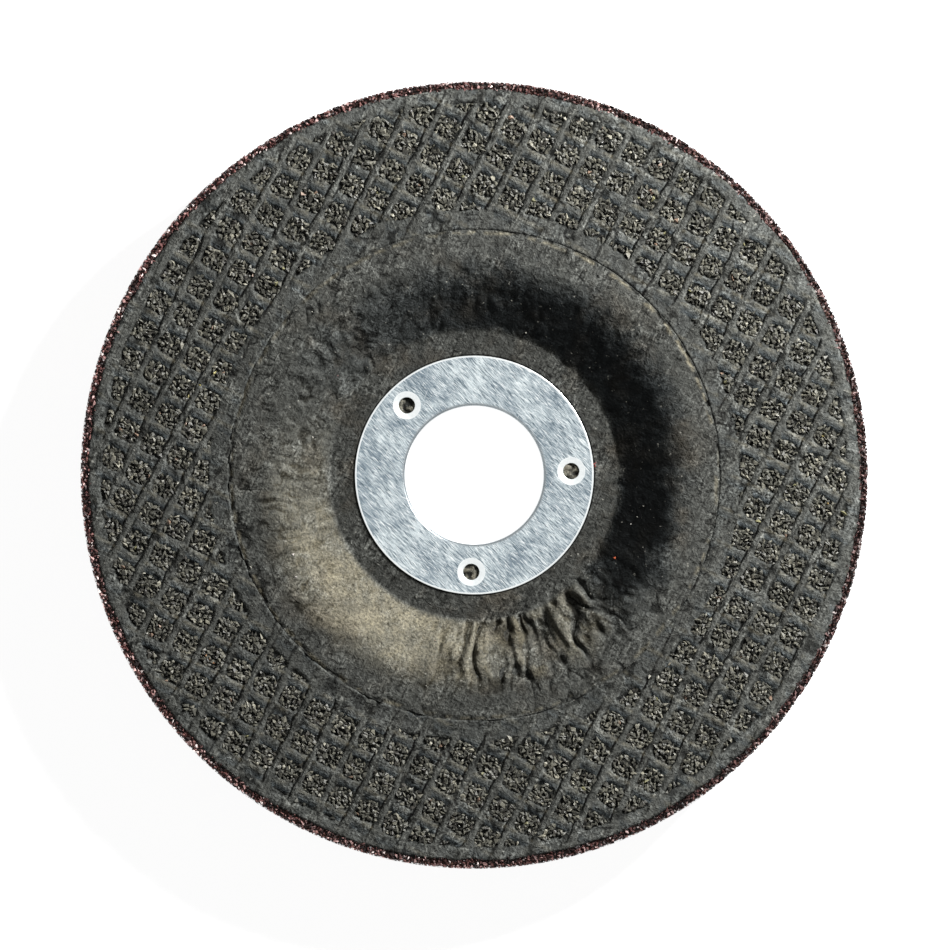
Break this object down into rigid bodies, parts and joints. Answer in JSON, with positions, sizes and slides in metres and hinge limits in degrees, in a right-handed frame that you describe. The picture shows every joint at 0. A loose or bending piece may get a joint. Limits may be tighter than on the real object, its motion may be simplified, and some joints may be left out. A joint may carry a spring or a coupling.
{
  "type": "grinding disc",
  "caption": "Rigid bonded grinding disc with a depressed centre, open glass weave on its working face and a dished steel ring round the spindle bore.",
  "frame": {"origin": "centre of the hub's back face, on which the disc rests", "axes": "+Z along the spindle axis, up out of the recess on the working side; +X and +Y follow the right and the top of the picture"},
  "size_m": [0.125, 0.125, 0.0113],
  "materials": {
    "grit": "coarse brown aluminium oxide grit in dark resin, as pressed",
    "cloth": "black resin-soaked glass cloth, open weave, dull with fine grit",
    "ring": "zinc-bright pressed steel sheet, finely scratched"
  },
  "bodies": {
    "root": {"abrasive_disc": "grit", "front_cloth": "cloth", "bore_ring": "ring"}
  },
  "joints": []
}
